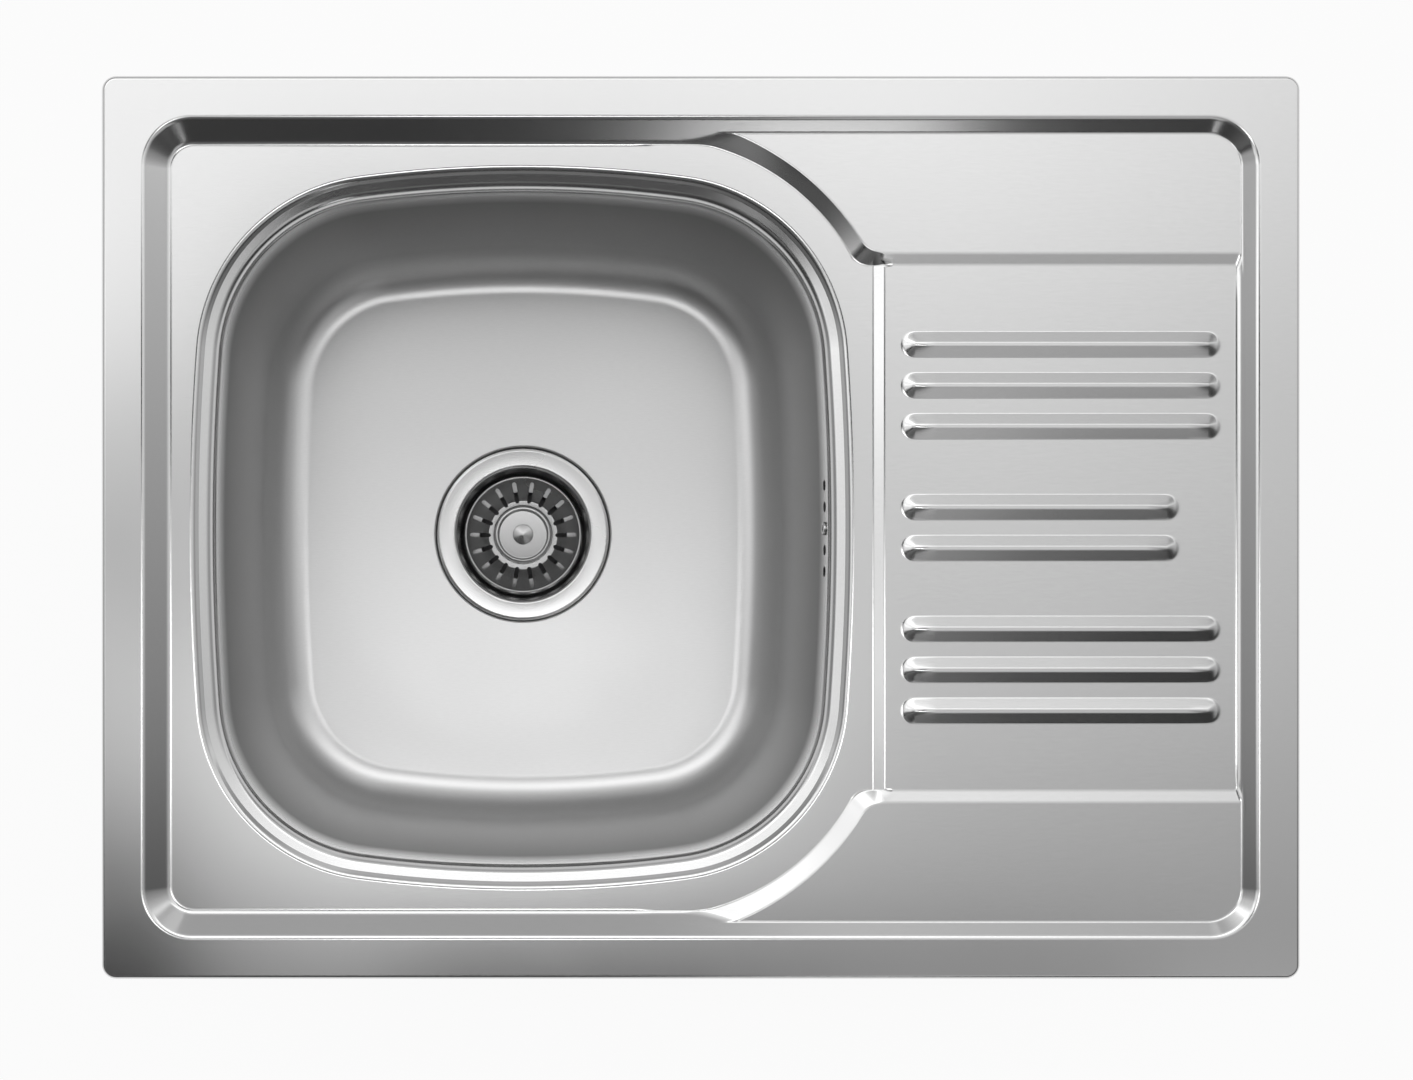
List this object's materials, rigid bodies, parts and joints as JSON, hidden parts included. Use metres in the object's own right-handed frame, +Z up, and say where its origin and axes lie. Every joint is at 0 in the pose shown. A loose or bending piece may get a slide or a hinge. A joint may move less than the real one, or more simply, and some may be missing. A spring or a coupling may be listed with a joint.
{
  "type": "inset kitchen sink",
  "caption": "Inset pressed-steel kitchen sink with one rounded bowl, a ribbed drainer, an overflow and a lift-out basket strainer, held in the worktop by swing clips.",
  "frame": {"origin": "centre of the rim, on the worktop plane that the rim seal rests on", "axes": "+X from the bowl to the drainer, +Y to the back, +Z up out of the worktop"},
  "size_m": [0.65, 0.49, 0.249],
  "materials": {
    "satin_steel": "satin",
    "strainer_steel": "fine turned",
    "plated_steel": "zinc plated",
    "seal_foam": "matte foam",
    "soft_rubber": "matte",
    "pad_bitumen": "matte",
    "grey_plastic": "moulded",
    "white_plastic": "moulded",
    "insert_brass": "machined"
  },
  "bodies": {
    "sink": {"sink_pressing": "satin_steel", "rim_seal": "seal_foam", "sound_pads": "pad_bitumen", "strainer_cup": "strainer_steel", "cup_gasket": "soft_rubber", "body_gasket": "soft_rubber", "waste_body": "grey_plastic", "waste_funnel": "grey_plastic", "screw_insert": "insert_brass", "centre_screw": "strainer_steel", "overflow_housing": "grey_plastic", "overflow_gasket": "soft_rubber", "overflow_screw": "strainer_steel", "overflow_pipe": "white_plastic", "upper_pipe_nut": "grey_plastic", "upper_pipe_washer": "soft_rubber", "lower_pipe_nut": "grey_plastic", "lower_pipe_washer": "soft_rubber", "clip_brackets": "plated_steel", "clip_bolts": "plated_steel"},
    "plug": {"spindle": "strainer_steel", "friction_ring": "soft_rubber", "plug_seal": "soft_rubber", "seal_washer": "strainer_steel", "plug_knob": "strainer_steel"},
    "basket": {"strainer_basket": "strainer_steel"},
    "clip_1_nut": {"clip_nut_1": "plated_steel"},
    "clip_1_arm": {"clip_arm_1": "plated_steel"},
    "clip_2_nut": {"clip_nut_2": "plated_steel"},
    "clip_2_arm": {"clip_arm_2": "plated_steel"},
    "clip_3_nut": {"clip_nut_3": "plated_steel"},
    "clip_3_arm": {"clip_arm_3": "plated_steel"},
    "clip_4_nut": {"clip_nut_4": "plated_steel"},
    "clip_4_arm": {"clip_arm_4": "plated_steel"},
    "clip_5_nut": {"clip_nut_5": "plated_steel"},
    "clip_5_arm": {"clip_arm_5": "plated_steel"},
    "clip_6_nut": {"clip_nut_6": "plated_steel"},
    "clip_6_arm": {"clip_arm_6": "plated_steel"}
  },
  "joints": [
    {"name": "plug_lift", "type": "slide", "parent": "sink", "child": "plug", "axis": [0, 0, 1], "range_m": [0, 0.22]},
    {"name": "basket_spin", "type": "hinge", "parent": "plug", "child": "basket", "pos_m": [-0.097, 0, -0.17], "axis": [0, 0, 1], "continuous": true},
    {"name": "clip_1_clamp", "type": "slide", "parent": "sink", "child": "clip_1_nut", "axis": [0, 0, 1], "range_m": [0, 0.026]},
    {"name": "clip_1_swing", "type": "hinge", "parent": "clip_1_nut", "child": "clip_1_arm", "pos_m": [-0.25, 0.203, -0.06], "axis": [0, 0, 1], "range_deg": [0, 90]},
    {"name": "clip_2_clamp", "type": "slide", "parent": "sink", "child": "clip_2_nut", "axis": [0, 0, 1], "range_m": [0, 0.026]},
    {"name": "clip_2_swing", "type": "hinge", "parent": "clip_2_nut", "child": "clip_2_arm", "pos_m": [-0.02, 0.203, -0.06], "axis": [0, 0, 1], "range_deg": [0, 90]},
    {"name": "clip_3_clamp", "type": "slide", "parent": "sink", "child": "clip_3_nut", "axis": [0, 0, 1], "range_m": [0, 0.026]},
    {"name": "clip_3_swing", "type": "hinge", "parent": "clip_3_nut", "child": "clip_3_arm", "pos_m": [0.25, 0.203, -0.06], "axis": [0, 0, 1], "range_deg": [0, 90]},
    {"name": "clip_4_clamp", "type": "slide", "parent": "sink", "child": "clip_4_nut", "axis": [0, 0, 1], "range_m": [0, 0.026]},
    {"name": "clip_4_swing", "type": "hinge", "parent": "clip_4_nut", "child": "clip_4_arm", "pos_m": [-0.25, -0.203, -0.06], "axis": [0, 0, 1], "range_deg": [0, 90]},
    {"name": "clip_5_clamp", "type": "slide", "parent": "sink", "child": "clip_5_nut", "axis": [0, 0, 1], "range_m": [0, 0.026]},
    {"name": "clip_5_swing", "type": "hinge", "parent": "clip_5_nut", "child": "clip_5_arm", "pos_m": [-0.02, -0.203, -0.06], "axis": [0, 0, 1], "range_deg": [0, 90]},
    {"name": "clip_6_clamp", "type": "slide", "parent": "sink", "child": "clip_6_nut", "axis": [0, 0, 1], "range_m": [0, 0.026]},
    {"name": "clip_6_swing", "type": "hinge", "parent": "clip_6_nut", "child": "clip_6_arm", "pos_m": [0.25, -0.203, -0.06], "axis": [0, 0, 1], "range_deg": [0, 90]}
  ]
}
